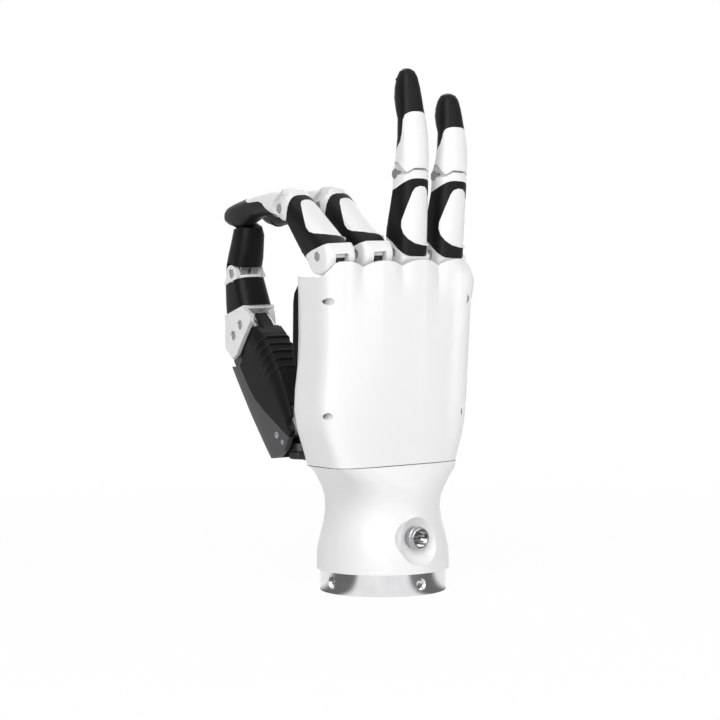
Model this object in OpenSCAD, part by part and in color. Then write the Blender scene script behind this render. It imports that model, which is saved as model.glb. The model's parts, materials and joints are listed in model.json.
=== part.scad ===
// Dexterous robot hand, right hand, five digits, twelve hinges.
// Millimetres. +Z runs up along the fingers, +X towards the little finger,
// +Y is the palm side. The origin is the centre of the wrist flange's lower face.

/* [Wrist] */
// Wall thickness of the wrist flange
flange_wall = 4.5; // [4:0.25:5.5]
// Height of the wrist flange
flange_h = 9.5; // [8:0.5:14]
// Diameter of the socket that takes the arm's spigot
socket_d = 46; // [40:0.5:47]
// Diameter of the four radial screw holes
radial_hole_d = 3.2; // [2.5:0.1:4]
// Step from the flange out to the cuff's lower edge
cuff_step = 1.5; // [1:0.25:3]
// Radius of the cuff at its waist
waist_r = 25; // [23:0.25:27]
// Height of the cuff's upper edge above the flange's lower face
cuff_top = 56; // [52:0.5:60]

/* [Connector] */
// Diameter of the connector's flared rim
plug_d = 9; // [7:0.5:10]
// Height of the connector's axis
plug_z = 24.5; // [22:0.5:28]

/* [Palm] */
// Thickness of the palm covers
wall = 2.2; // [1.8:0.1:2.8]
// Height of the palm's flat top
palm_top = 137.2; // [130:0.5:140]
// Y of the back of the hand
back_y = -23; // [-25:0.5:-21]
// Y of the palm's front
front_y = 9; // [8:0.5:11]
// Y of the plane where the front and back covers meet
split_y = 2.6; // [1:0.2:4]
// Thickness of the soft palm pad
pad_t = 1.8; // [1:0.2:3]

/* [Fingers] */
// Distance between neighbouring fingers
pitch = 20; // [19:0.25:22]
// Width of a finger
finger_w = 15.2; // [14:0.2:16]
// Length from knuckle axis to middle axis
prox_len = 34; // [31:0.5:38]
// Angle the index and middle fingers are bent at the knuckle
bend = 53.5; // [0:0.5:60]
// Bend at the middle joint for each degree at the knuckle
curl = 0.71; // [0.6:0.01:0.8]
// Bend at the middle joint of a straight finger
curl_rest = 4; // [0:0.5:8]
// Fingertip lengths from the middle axis, index to little
tip_len = [50.5, 51, 45.6, 36.4];
// Radius of a knuckle
knuckle_r = 8; // [7:0.25:8.5]
// Radius of the middle joint's ears
ear_r = 4.8; // [4.2:0.1:5]
// Diameter of the hinge pins
pin_d = 3; // [2:0.25:3.5]
// Thickness of the black sleeve
sleeve_t = 1.3; // [1:0.1:2]

/* [Thumb] */
// X of the thumb's middle plane
thumb_x = -32.5; // [-34:0.5:-30]
// Width of the thumb's housing
thumb_w = 17; // [15:0.5:18]
// Length from the thumb's root axis to its middle axis
thumb_len = 56; // [52:0.5:60]
// Length from the thumb's middle axis to its last axis
thumb_mid_len = 23.6; // [22:0.2:27]
// Length from the thumb's middle axis to the end of its tip
thumb_end_len = 43.6; // [42:0.2:44]
// Lean of the thumb's root segment from upright
root_lean = 38.7; // [30:0.1:45]
// Lean of the thumb's middle segment from upright
mid_lean = 18.8; // [10:0.1:30]
// Lean of the thumb's tip from upright
tip_lean = -13; // [-25:0.5:0]

/* [Hidden] */

$fn = 48;
eps = 0.01;
flange_d = socket_d + 2 * flange_wall;
cuff_r = flange_d / 2 + cuff_step;
thumb_tip_len = thumb_end_len - thumb_mid_len;
// Radius of the hexagonal pin heads over their corners
hex_r = 2.3;
// Gap between faces that move past each other
gap = 0.35;
// Radial clearance of a pin in its hole
run = 0.05;

// ---- helpers -------------------------------------------------------------
function signed_pow(v, p) = v < 0 ? -pow(-v, p) : pow(v, p);

// One ring of a section: half width hw, reach d towards -Y and p towards +Y,
// corner sharpness nd on the -Y side and np on the +Y side, centred on (cx, cy)
function ring(z, hw, d, p, nd, np, cx = 0, cy = 0, n = 24) = [
  for (i = [0 : n - 1])
    let (t = 360 * (i + 0.5) / n, s = sin(t), q = s < 0 ? nd : np)
      [cx + hw * signed_pow(cos(t), 2 / q), cy + (s < 0 ? d : p) * signed_pow(s, 2 / q), z]
];

// A closed skin through rings that all have the same number of points
module loft(rings) {
  n = len(rings[0]);
  m = len(rings);
  points = [for (r = rings) for (q = r) q];
  sides = [
    for (k = [0 : m - 2]) for (i = [0 : n - 1])
      let (j = (i + 1) % n, a = k * n)
        each [[a + i, a + n + i, a + n + j], [a + i, a + n + j, a + j]]
  ];
  base = [for (i = [0 : n - 1]) i];
  top = [for (i = [n - 1 : -1 : 0]) (m - 1) * n + i];
  polyhedron(points, concat([base], sides, [top]), convexity = 4);
}

// Profile drawn in Y and Z, extruded along X between two values
module across(x0, x1) {
  translate([x0, 0, 0])
    rotate([90, 0, 90])
      linear_extrude(x1 - x0)
        children();
}

// Cylinder along X, centred
module axle(r, l) {
  rotate([0, 90, 0])
    cylinder(r = r, h = l, center = true);
}

// Cylinder along Y, centred
module bar_y(r, l) {
  rotate([90, 0, 0])
    cylinder(r = r, h = l, center = true);
}

// ---- palm outline --------------------------------------------------------
// Half widths and middles of the palm at each height
palm_rings = [
  [cuff_top, 33, -5.2, 0],
  [64, 35, -6, 0],
  [72, 36.9, -6.9, 0],
  [80, 37.9, -7.3, 0],
  [89, 37.9, -6.8, 0],
  [98, 37.6, -5.8, 0],
  [112, 37.8, -5, 0.25],
  [124, 38.2, -4.6, 0.6],
  [132, 38.6, -4.2, 0.9],
  [palm_top, 38.8, -4, 1],
  [145.5, 38.9, -4, 1]
];
palm_mid_y = (back_y + front_y) / 2;
palm_half_y = (front_y - back_y) / 2;

// Depth of the grooves that run down from between the knuckles
function groove(x, k) = k * 0.9 * (1 - cos(360 * (x - finger_x[0]) / pitch)) / 2;

function palm_ring(row, inset, n = 48) = [
  for (q = ring(row[0], row[1] - inset, palm_half_y - inset, palm_half_y - inset,
                4.6, 5, row[2], palm_mid_y, n))
    q[1] < palm_mid_y && abs(q[0] - row[2]) < row[1] - 5
      ? [q[0], q[1] + groove(q[0], row[3]), q[2]]
      : q
];

module palm_body() {
  loft([for (r = palm_rings) palm_ring(r, 0)]);
}

module palm_hollow() {
  difference() {
    intersection() {
      loft([
        for (k = [0, 2, 4, 6, 8, 10])
          let (r = palm_rings[k])
            palm_ring([r[0], r[1] - 0.2, r[2], 0], wall, 28)
      ]);
      translate([-60, -60, cuff_top + wall])
        cube([120, 120, palm_top - cuff_top - 2 * wall]);
    }
    // bosses round the cover screws
    for (q = screw_spots)
      translate([q[0], -3, q[1]])
        bar_y(2.5, 30);
    // wall behind the thumb's recess
    translate([-60, recess_y - wall, cuff_top - 1])
      cube([60 - 14 + wall, 40, 40 + wall]);
  }
}

// ---- finger placement ----------------------------------------------------
finger_x = [for (i = [0 : 3]) (i - 1.75) * pitch];
finger_z = [146, 146.6, 146.4, 145.2];
splay = [-1.3, 0, 1.9, 3.8];
knuckle_y = -11.5;
rest_bend = [bend, bend, 0, 0];

module at_knuckle(i) {
  translate([finger_x[i], knuckle_y, finger_z[i]])
    rotate([0, splay[i], 0])
      children();
}

module at_finger(i) {
  at_knuckle(i)
    rotate([-rest_bend[i], 0, 0])
      children();
}

module at_fingertip(i) {
  at_finger(i)
    translate([0, 0, prox_len])
      rotate([-curl_rest - curl * rest_bend[i], 0, 0])
        children();
}

// ---- finger, first segment -----------------------------------------------
half_w = finger_w / 2;
lug_half = 3;
fork_half = lug_half + gap;
ear_in = 4.9;
tongue_r = 5.3;

// Rings of the first segment: height, half width, back reach, palm reach
prox_rows = [
  [-1.5, 0, 8, 7.6], [3, 0, 8.1, 7.7], [9, 0, 8.2, 7.5], [14, 0, 8.2, 6.3],
  [20, 0, 8.2, 4.5], [26.5, 0, 8.2, 2.3], [prox_len - 3, 0, 8.3, 2], [prox_len + 3, 0, 8.4, 2]
];

module prox_form() {
  loft([for (r = prox_rows) ring(r[0], half_w, r[2], r[3], 2.9, 4.2)]);
}

// Core of the first segment, inside the sleeve
module prox_core() {
  intersection() {
    linear_extrude(prox_len)
      polygon([for (q = ring(0, half_w - sleeve_t, 8.1 - sleeve_t, 7.5 - sleeve_t, 2.9, 4.2)) [q[0], q[1]]]);
    across(-half_w, half_w)
      polygon([
        [-8, 0], [-8, prox_len], [2 - sleeve_t, prox_len], [2 - sleeve_t, 27],
        [4.3 - sleeve_t, 20], [6.1 - sleeve_t, 14], [7.3 - sleeve_t, 9], [7.5 - sleeve_t, 0]
      ]);
  }
}

// Side outline of the sleeve: its lower edge rises from back to palm
module sleeve_side() {
  polygon([
    [-12, -1.2], [-7.5, -1.2], [-4, 1.4], [0, 4.4], [4, 6.6], [12, 8.2],
    [12, 20], [2, 26.5], [-2, 28.2], [-5.5, 30.2], [-9, prox_len - 1.2], [-12, prox_len - 1.2]
  ]);
}

// Window in the back of the sleeve. It is cut at a slant, so that its long edge
// runs off the back and down the finger's side.
module sleeve_window() {
  slant = 36;
  for (m = [0, 1])
    mirror([m, 0, 0])
      intersection() {
        rotate([90, 0, -slant])
          linear_extrude(20)
            polygon([
              [11, 3.4], [7, 3.6], [3.4, 4.4], [0.4, 6.2], [-1.8, 8.6], [-2.8, 11.2],
              [-2.7, 14], [-0.4, 20.5], [1.8, 26.4], [3, 28.2], [5, 29], [7, 28.8], [8, 27.4],
              [8.3, 25], [11, 22]
            ]);
        translate([m == 0 ? -10 : -half_w - 1, -20, 0])
          cube([m == 0 ? 20 : 2.8, 20, 40]);
      }
}

// The knuckle drum with softly rounded ends
module knuckle_drum() {
  rim = 2;
  rotate([0, 90, 0])
    rotate_extrude()
      polygon(concat(
        [[0, -half_w], [knuckle_r - rim, -half_w]],
        [for (a = [15 : 15 : 75]) [knuckle_r - rim + rim * sin(a), -half_w + rim - rim * cos(a)]],
        [[knuckle_r, -half_w + rim], [knuckle_r, half_w - rim]],
        [for (a = [75 : -15 : 15]) [knuckle_r - rim + rim * sin(a), half_w - rim + rim * cos(a)]],
        [[knuckle_r - rim, half_w], [0, half_w]]
      ));
}

// Everything above the wavy parting line of the middle joint, drawn in X and Z
module hood_cut(lift) {
  translate([0, 20, prox_len + lift])
    rotate([90, 0, 0])
      linear_extrude(40)
        polygon([
          [-12, -0.5], [-6.4, -0.5], [-4.8, 0.6], [-3, 1.8], [3, 1.8], [4.8, 0.6], [6.4, -0.5],
          [12, -0.5], [12, 12], [-12, 12]
        ]);
}

// Side outline of an ear with the neck that carries it, from the middle joint's axis
module ear_side() {
  circle(r = ear_r);
  polygon([
    [-3.6, 2.7], [-5.2, 1.2], [-6.8, -0.3], [-9, -0.6], [-9, -9], [1.6, -9], [2.6, -6],
    [ear_r * 0.8, -ear_r * 0.6]
  ]);
}

module finger_frame(i) {
  color("white")
    at_finger(i)
      difference() {
        union() {
          prox_core();
          // all that the sleeve leaves open: knuckle, window panel and upper band
          difference() {
            union() {
              prox_form();
              knuckle_drum();
            }
            difference() {
              across(-20, 20)
                sleeve_side();
              sleeve_window();
            }
          }
        }
        // parting line and ears of the middle joint
        hood_cut(0);
        for (s = [-1, 1])
          translate([s * (ear_in + 5), 0, prox_len])
            difference() {
              across(-5, 5)
                translate([-12, -9])
                  square([24, 24]);
              across(-6, 6)
                ear_side();
            }
        // slot for the palm's lug
        translate([-fork_half, -12, -12])
          cube([2 * fork_half, 24, 12]);
        translate([-fork_half, 0, -1])
          cube([2 * fork_half, 12, 3.8]);
        axle(tongue_r + gap + 0.4, 2 * fork_half);
        // space for the fingertip's tongue
        translate([0, 0, prox_len])
          axle(tongue_r + gap, 2 * ear_in);
        translate([-ear_in, -3, prox_len - 1])
          cube([2 * ear_in, 14, 12]);
        for (z = [0, prox_len])
          translate([0, 0, z])
            pin_seat(finger_w - 0.6);
      }
}

module finger_sleeve(i) {
  color("#1c1c1e")
    at_finger(i)
      difference() {
        intersection() {
          prox_form();
          across(-20, 20)
            sleeve_side();
        }
        prox_core();
        sleeve_window();
        axle(tongue_r + gap + 0.4, 2 * fork_half);
        translate([0, 0, prox_len])
          axle(tongue_r + gap, 2 * ear_in);
      }
}

// Bore of a hinge pin with a hexagonal recess for each head
module pin_seat(length) {
  axle(pin_d / 2, length);
  for (s = [-1, 1])
    translate([s * (length / 2 + 1), 0, 0])
      rotate([0, 90, 0])
        cylinder(r = hex_r + 0.05, h = 3, center = true, $fn = 6);
}

// Hinge pin with a thin hexagonal head at each end
module hinge_pin(length) {
  color("dimgray")
    union() {
      axle(pin_d / 2, length);
      for (s = [-1, 1])
        translate([s * (length / 2 - 0.25), 0, 0])
          rotate([0, 90, 0])
            cylinder(r = hex_r, h = 0.5, center = true, $fn = 6);
    }
}

module finger_pin(i, z) {
  at_finger(i)
    translate([0, 0, z])
      hinge_pin(finger_w - 0.6);
}

// ---- finger, second segment ----------------------------------------------
// Rings of the fingertip as shares of its length: height, half width, back reach,
// palm reach and the shift of the widest point towards the back
tip_rows = [
  [-0.08, 7.5, 8.4, 3.8, 0], [0.065, 7.4, 8.7, 4.2, 1], [0.16, 7.2, 8.8, 3.3, 2.6],
  [0.34, 6.8, 8.4, 2, 3.6], [0.52, 6.2, 7.8, 1.7, 2.6], [0.62, 5.8, 7.2, 3.6, 1.2],
  [0.725, 5.5, 6.5, 5.1, 0.6], [0.83, 4.95, 5.7, 5, 0.3], [0.92, 4.2, 4.8, 3.6, 0],
  [0.975, 3.1, 3.5, 2.1, 0], [1, 1.4, 1.8, 0.7, 0]
];

module tip_form(l) {
  loft([
    for (r = tip_rows)
      ring(r[0] * l, r[1] * half_w / 7.6, r[2] - r[4], r[3] + r[4], 2.8, 2.3, 0, -r[4])
  ]);
}

// Side outline of the white tip shell: the back, and the sides near the joint
module shell_side(l) {
  polygon([
    [-12, -4], [3.4, -4], [3.4, 3.5], [1.6, 7.6], [-0.8, 10.8], [-3.6, 13.6],
    [-4.6, 16.5], [-4.8, l * 0.5], [-5.6, l * 0.55], [-9, l * 0.61], [-12, l * 0.61]
  ]);
}

// What the joint takes out of the fingertip's outer pieces
module tip_joint_space() {
  difference() {
    translate([-12, -12, -12])
      cube([24, 24, 16]);
    translate([0, 0, -prox_len])
      hood_cut(gap);
  }
  for (s = [-1, 1])
    translate([s * (ear_in + 5 - gap), 0, 0])
      across(-5, 5) {
        circle(r = ear_r + gap);
        polygon([
          [-3.9, 3.05], [-5.5, 1.5], [-7, 0], [-9.2, -0.3], [-9.2, -12], [12, -12], [12, 1.2],
          [ear_r, 1.2], [0, ear_r]
        ]);
      }
}

// Core that carries the shell and the pad and turns on the middle pin
module tip_core(l) {
  core_w = 2 * (ear_in - gap);
  intersection() {
    union() {
      axle(tongue_r, core_w);
      across(-core_w / 2, core_w / 2)
        polygon([
          [-3, -2], [-5, 1], [-5.6, 4], [-5.6, l * 0.46], [-3.5, l * 0.52], [-1.4, l * 0.52],
          [-0.6, l * 0.46], [-0.2, 16], [2.4, 8], [4.6, 1], [3, -2]
        ]);
    }
    translate([-10, -10, -10])
      cube([20, 20, l]);
  }
}

module tip_frame(i) {
  color("#3a3a3d")
    at_fingertip(i)
      difference() {
        tip_core(tip_len[i]);
        axle(pin_d / 2 + run, 20);
      }
}

module tip_shell(i) {
  l = tip_len[i];
  color("white")
    at_fingertip(i)
      difference() {
        intersection() {
          tip_form(l);
          across(-20, 20)
            shell_side(l);
        }
        tip_core(l);
        axle(tongue_r, 2 * ear_in - 2 * gap);
        tip_joint_space();
      }
}

module tip_pad(i) {
  l = tip_len[i];
  color("#1c1c1e")
    at_fingertip(i)
      difference() {
        tip_form(l);
        across(-20, 20)
          shell_side(l);
        tip_core(l);
        tip_joint_space();
      }
}

// ---- wrist ---------------------------------------------------------------
module wrist_flange() {
  color("silver")
    difference() {
      rotate([0, 0, 45])
        cylinder(d = flange_d, h = flange_h, $fn = 96);
      translate([0, 0, -1])
        rotate([0, 0, 45])
          cylinder(d = socket_d, h = flange_h + 2, $fn = 96);
      for (a = [0 : 90 : 270])
        rotate([0, 0, a])
          translate([flange_d / 2, 0, flange_h / 2])
            rotate([0, -90, 0]) {
              cylinder(d = radial_hole_d, h = 4 * flange_wall, center = true);
              translate([0, 0, -0.4])
                cylinder(r1 = 2.8, r2 = 1, h = 2.4);
            }
    }
}

cuff_rings = [
  [flange_h, cuff_r, cuff_r, cuff_r, 2, 0, 0],
  [18, cuff_r - 0.3, cuff_r - 0.3, cuff_r - 0.3, 2, 0, 0],
  [24, cuff_r - 1.6, cuff_r - 1.6, cuff_r - 1.6, 2, 0, 0],
  [30, waist_r + 0.8, waist_r + 0.8, waist_r + 0.8, 2, 0, 0],
  [36, waist_r, waist_r, waist_r, 2, 0, 0],
  [41, waist_r + 0.4, waist_r, waist_r - 1.5, 2.1, -0.2, 0],
  [45.5, waist_r + 2, waist_r - 0.7, waist_r - 4, 2.4, -0.9, -1],
  [49.5, waist_r + 4.2, waist_r - 3.5, waist_r - 6.5, 2.9, -2, -3],
  [53, waist_r + 6.4, palm_half_y + 1.2, palm_half_y + 1.2, 3.8, -3.4, palm_mid_y + 0.6],
  [cuff_top, 33, palm_half_y, palm_half_y, 4.8, -5.2, palm_mid_y]
];

module wrist_cuff() {
  color("white")
    difference() {
      loft([for (r = cuff_rings) ring(r[0], r[1], r[2], r[3], r[4], r[4], r[5], r[6], 48)]);
      // channel for the cables from the connector to the palm
      translate([0, -8, flange_h + 4])
        cylinder(r = 8, h = cuff_top);
      // seat of the connector
      translate([0, -plug_back - 7, plug_z])
        bar_y(plug_d / 2 + 0.05, 30);
      // rounded pocket round the connector
      translate([-1.2, -cuff_r - 5.5, plug_z])
        sphere(r = 13);
      translate([-6.4, -cuff_r - 5, plug_z + 1.6])
        sphere(r = 11);
    }
}

plug_face_y = -cuff_r + 1.5;
plug_back = cuff_r - 12;

module connector_barrel() {
  color("silver")
    translate([0, 0, plug_z])
      rotate([90, 0, 0])
        rotate_extrude()
          polygon([
            [plug_d / 2 - 0.9, plug_back], [plug_d / 2, plug_back],
            [plug_d / 2, plug_back + 6.5], [plug_d / 2 + 0.5, plug_back + 6.8],
            [plug_d / 2 + 0.5, plug_back + 8.5], [plug_d / 2, plug_back + 8.8],
            [plug_d / 2, -plug_face_y - 0.3],
            [plug_d / 2 - 0.3, -plug_face_y], [plug_d / 2 - 0.9, -plug_face_y]
          ]);
}

module connector_insert() {
  color("#222224")
    translate([0, 0, plug_z])
      rotate([90, 0, 0])
        difference() {
          translate([0, 0, plug_back])
            cylinder(r = plug_d / 2 - 0.9, h = -plug_face_y - plug_back - 2.4);
          for (a = [0 : 45 : 315])
            rotate([0, 0, a])
              translate([2.2, 0, plug_back + 3])
                cylinder(r = 0.35, h = 20, $fn = 16);
          translate([0, 0, plug_back + 3])
            cylinder(r = 0.35, h = 20, $fn = 16);
        }
}

module connector_pins() {
  color("gold")
    translate([0, 0, plug_z])
      rotate([90, 0, 0]) {
        for (a = [0 : 45 : 315])
          rotate([0, 0, a])
            translate([2.2, 0, plug_back + 3])
              cylinder(r = 0.35, h = -plug_face_y - plug_back - 3.8, $fn = 16);
        translate([0, 0, plug_back + 3])
          cylinder(r = 0.35, h = -plug_face_y - plug_back - 3.8, $fn = 16);
      }
}

// ---- palm ----------------------------------------------------------------
// Scalloped upper edge behind the knuckles, drawn in X and Z
module scallop_side() {
  x0 = finger_x[0] - pitch;
  x1 = finger_x[3] + pitch;
  polygon(concat(
    [[x0, 40], [x0, palm_top]],
    [for (x = [x0 : 2 : x1])
      [x, 141.2 + 2.7 * pow(abs(cos(180 * (x - finger_x[0]) / pitch)), 0.8)
          - 0.02 * max(0, x - finger_x[3]) * max(0, x - finger_x[3])]],
    [[x1, palm_top], [x1, 40]]
  ));
}

// Screws that run inside the side walls and hold the covers together
screw_spots = [[-40.9, 127], [-42.4, 78.7], [31.6, 125.4], [28.7, 80.5]];
screw_end = split_y + 1;
head_y = -12.3;

module screw_holes() {
  for (q = screw_spots) {
    translate([q[0], head_y - 10, q[1]])
      bar_y(1.55, 20);
    translate([q[0], (head_y + screw_end) / 2, q[1]])
      bar_y(0.75, screw_end - head_y);
  }
}

module back_cover() {
  color("white")
    difference() {
      intersection() {
        palm_body();
        translate([-60, -40, cuff_top])
          cube([120, 40 + split_y, 100]);
        translate([0, 40, 0])
          rotate([90, 0, 0])
            linear_extrude(100)
              scallop_side();
      }
      palm_hollow();
      // room for the knuckles
      translate([-60, back_y + wall + 0.4, palm_top])
        cube([120, 60, 20]);
      for (i = [0 : 3])
        translate([finger_x[i], knuckle_y, finger_z[i]])
          axle(knuckle_r + 0.6, pitch + 0.2);
      lug_slots();
      screw_holes();
      frame_posts(3.05);
    }
}

module lug_slots() {
  for (i = [0 : 3])
    at_knuckle(i)
      translate([-lug_half - gap, -6, -12])
        cube([2 * (lug_half + gap), 12, 8]);
}

// Where the thumb's root sweeps past the palm
module thumb_recess() {
  translate([-60, recess_y, cuff_top - 1])
    cube([60 - 14, 40, 40]);
}

module palm_cover() {
  color("white")
    difference() {
      intersection() {
        palm_body();
        translate([-60, split_y, cuff_top])
          cube([120, 40, palm_top - cuff_top]);
      }
      palm_hollow();
      thumb_recess();
      screw_holes();
    }
}

// Soft pad that wraps the upper palm and its edges
module palm_pad() {
  color("#1c1c1e")
    difference() {
      intersection() {
        loft([
          palm_ring([98, 37.6, -5.8, 0], -0.2), palm_ring([101, 37.6, -5.6, 0], -pad_t + 0.4),
          palm_ring([105, 37.7, -5.4, 0], -pad_t), palm_ring([126, 38.2, -4.5, 0], -pad_t),
          palm_ring([130, 38.4, -4.3, 0], -pad_t + 0.4), palm_ring([133, 38.5, -4.2, 0], -0.2)
        ]);
        translate([-60, split_y + 1.6, 90])
          cube([120, 40, 60]);
      }
      palm_body();
    }
}

module cover_screws() {
  color("dimgray")
    for (q = screw_spots)
      translate([q[0], 0, q[1]])
        rotate([90, 0, 0])
          difference() {
            union() {
              translate([0, 0, -screw_end])
                cylinder(r = 0.75, h = screw_end - head_y);
              translate([0, 0, -head_y])
                cylinder(r = 1.45, h = 1);
            }
            translate([0, 0, -head_y + 0.4])
              cylinder(r = 0.8, h = 2, $fn = 6);
          }
}

plate_t = 2.4;
frame_y = -5;
motor_r = 5.5;
motor_y = -11.6;
motor_low = 64;
motor_len = 26;
gearbox_len = 14;
screw_len = 18;
motor_x = [for (i = [0 : 3]) -5.2 + (i - 1.5) * 12.2];
board_y = frame_y + plate_t + 2.4;

// Posts that stand against the inside of the back cover
post_spots = [[-33.5, 126.5], [-33, 77.5], [26, 126.5], [22.5, 77.5]];

module frame_posts(r) {
  for (q = post_spots)
    translate([q[0], (back_y + wall + frame_y + plate_t) / 2, q[1]])
      bar_y(r, frame_y + plate_t - back_y - wall);
}

module palm_frame() {
  color("#8a8d92")
    difference() {
      union() {
        // backplate and the two shelves that hold the motors
        translate([-33, frame_y, 62])
          cube([56, plate_t, 60]);
        translate([-38.5, frame_y, 116])
          cube([67, plate_t, 16]);
        for (z = [motor_low + 4, motor_low + motor_len + gearbox_len - 6])
          translate([-32, -18, z])
            cube([53.6, 18 + frame_y + eps, 6]);
        // lugs for the knuckles
        for (i = [0 : 3])
          at_knuckle(i)
            across(-lug_half, lug_half)
              union() {
                circle(r = tongue_r);
                polygon([
                  [-tongue_r + 0.1, -1], [1.5, -1], [1.5, -10], [8.8, -16], [8.8, -22],
                  [6.6, -22], [-tongue_r + 0.1, -13]
                ]);
              }
        frame_posts(3);
        // posts under the control board
        for (x = [-20, 12], z = [86, 118])
          translate([x, board_y - 1.3, z])
            bar_y(2, 2.6);
      }
      for (i = [0 : 3]) {
        at_knuckle(i)
          axle(pin_d / 2 + run, 10);
        translate([motor_x[i], motor_y, 60])
          cylinder(r = motor_r + 0.05, h = 60);
      }
    }
}

module finger_motors() {
  color("silver")
    for (x = motor_x)
      translate([x, motor_y, motor_low])
        cylinder(r = motor_r, h = motor_len);
}

module finger_gearboxes() {
  color("goldenrod")
    for (x = motor_x)
      translate([x, motor_y, motor_low + motor_len])
        cylinder(r = motor_r, h = gearbox_len);
}

module finger_lead_screws() {
  color("gray")
    for (x = motor_x)
      translate([x, motor_y, motor_low + motor_len + gearbox_len])
        cylinder(r = 1.6, h = screw_len);
}

module control_board() {
  color("darkgreen") {
    translate([-24, board_y, 82])
      cube([40, 1.6, 40]);
    translate([-14, board_y + 1.6 - eps, 94])
      cube([12, 1.2, 12]);
    translate([4, board_y + 1.6 - eps, 100])
      cube([7, 1, 7]);
  }
}

// ---- thumb placement -----------------------------------------------------
root_y = 15;
root_z = 71;
recess_y = root_y - 9.9;
half_t = thumb_w / 2;

module at_root() {
  translate([thumb_x, root_y, root_z])
    rotate([-root_lean, 0, 0])
      children();
}

module at_mid() {
  at_root()
    translate([0, 0, thumb_len])
      rotate([root_lean - mid_lean, 0, 0])
        children();
}

module at_tip() {
  at_mid()
    translate([0, 0, thumb_mid_len])
      rotate([mid_lean - tip_lean, 0, 0])
        children();
}

// ---- thumb root ----------------------------------------------------------
mount_low = cuff_top + 1.8;
mount_top = cuff_top + 5;
swivel_r = 5.3;
neck_half = 2.8;
rail_half = 5.8;
rail_in = neck_half + gap;
cheek_in = 6.2;
motor_t_r = 5.4;
link_y = 6.6;
link_z = -3;

module thumb_mount() {
  color("#5c5f63")
    difference() {
      union() {
        translate([thumb_x, root_y, mount_low])
          cylinder(r = swivel_r, h = mount_top - mount_low);
        translate([thumb_x - 3.5, recess_y, mount_low])
          cube([10, root_y - recess_y, mount_top - mount_low]);
      }
      translate([thumb_x, root_y, mount_low - 1])
        cylinder(r = 2 + run, h = 8);
    }
}

module thumb_swivel_pin() {
  color("silver")
    translate([thumb_x, root_y, mount_low + 0.3])
      cylinder(r = 2, h = mount_top - mount_low + 3);
}

module thumb_swivel() {
  color("silver")
    translate([thumb_x, root_y, 0])
      difference() {
        union() {
          translate([0, 0, mount_top + 0.3])
            cylinder(r = swivel_r, h = 3.4);
          across(-neck_half, neck_half)
            union() {
              translate([0, root_z])
                circle(r = 3.6);
              translate([-3.6, mount_top + 2])
                square([7.2, root_z - mount_top - 2]);
            }
        }
        translate([0, 0, root_z])
          axle(pin_d / 2 + run, 20);
        translate([0, 0, cuff_top])
          cylinder(r = 2, h = mount_top - cuff_top + 3.3);
      }
}

// Side outline of the thumb's root segment
module root_side() {
  polygon([
    [17.8, -3.2], [13, -6.2], [5.2, -6.4], [1.2, -4.6], [-3.9, -2.6], [-5.4, 1.2],
    [-7.6, 10], [-9.6, 22], [-10.4, 34], [-9.8, 44], [-7.4, 50],
    [-3, 52], [5, 50], [11.5, 50.5], [16.6, 48.4], [17.4, 40], [18.2, 20]
  ]);
}

// Root segment, rounded on the palm side and squarer on the outer side
module root_form() {
  intersection() {
    across(-half_t, half_t)
      root_side();
    loft([
      for (r = [
        [-7, 6, 18.6], [-2, 7, 19], [4, 8.4, 19.4], [10, 9.8, 19.6], [22, 11.6, 19.6],
        [34, 12.4, 19.2], [44, 11.8, 18.6], [54, 8.6, 18]
      ])
        ring(r[0], half_t, r[1], r[2], 2.8, 9, 0, 0, 36)
    ]);
  }
}

module root_hollow() {
  across(-rail_half, rail_half)
    polygon([
      [16.8, -8], [-12, -8], [-12, 6], [-4.4, 10], [-7, 24], [-7.6, 40], [-6, 60],
      [14, 60], [15.8, 46], [16.8, 30]
    ]);
}

// Line along which the back shell meets the front shell
module back_side() {
  polygon([
    [-6, -20], [-1.6, -8], [2.5, 1.4], [8.3, 16], [10.8, 24], [11.4, 32], [10.8, 52],
    [10.6, 70], [40, 70], [40, -20]
  ]);
}

// Small screws low on the shell's sides: Y, Z and radius of each head
side_screws = [[6.9, 1.7, 1.5], [5.3, -3.1, 1.1]];

module screw_bodies(l) {
  for (q = side_screws, s = [-1, 1])
    translate([s * (half_t - 1.8 + l / 2), q[0], q[1]])
      rotate([40, 0, 0])
        axle(q[2], l);
}

// Where the bracket's cheeks sweep over the root segment
module root_space() {
  axle(pin_d / 2, thumb_w - 2.4);
  // opening at the root joint
  across(-20, 20)
    translate([-5.2, -0.8])
      circle(r = 3.4);
  screw_bodies(4);
  for (s = [-1, 1])
    translate([s * (cheek_in - gap + 5), 0, 0])
      across(-5, 5)
        union() {
          translate([0, thumb_len])
            circle(r = 10.2);
          polygon([[-2, 49], [4.6, 43.6], [9.4, 42.2], [12.4, 42.4], [19, 47], [19, 56], [0, 56]]);
        }
}

module thumb_back_shell() {
  color("#55575a")
    at_root()
      difference() {
        intersection() {
          root_form();
          across(-20, 20)
            back_side();
        }
        root_hollow();
        root_space();
      }
}

module thumb_front_shell() {
  color("#1c1c1e")
    at_root()
      union() {
        difference() {
          root_form();
          across(-20, 20)
            back_side();
          root_hollow();
          root_space();
        }
        // guard in front of the link, between the ears of the inner frame
        across(-neck_half, neck_half)
          polygon([[-8.2, 46], [-6.2, 46], [-5.6, 50], [-5.4, 56.4], [-6.8, 57.2], [-8, 52]]);
      }
}

module thumb_screws() {
  color("silver")
    at_root()
      difference() {
        screw_bodies(1.9);
        for (q = side_screws, s = [-1, 1])
          translate([s * (half_t + 0.2), q[0], q[1]])
            rotate([0, 90, 0])
              cylinder(r = q[2] * 0.5, h = 0.8, center = true, $fn = 6);
      }
}

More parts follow.
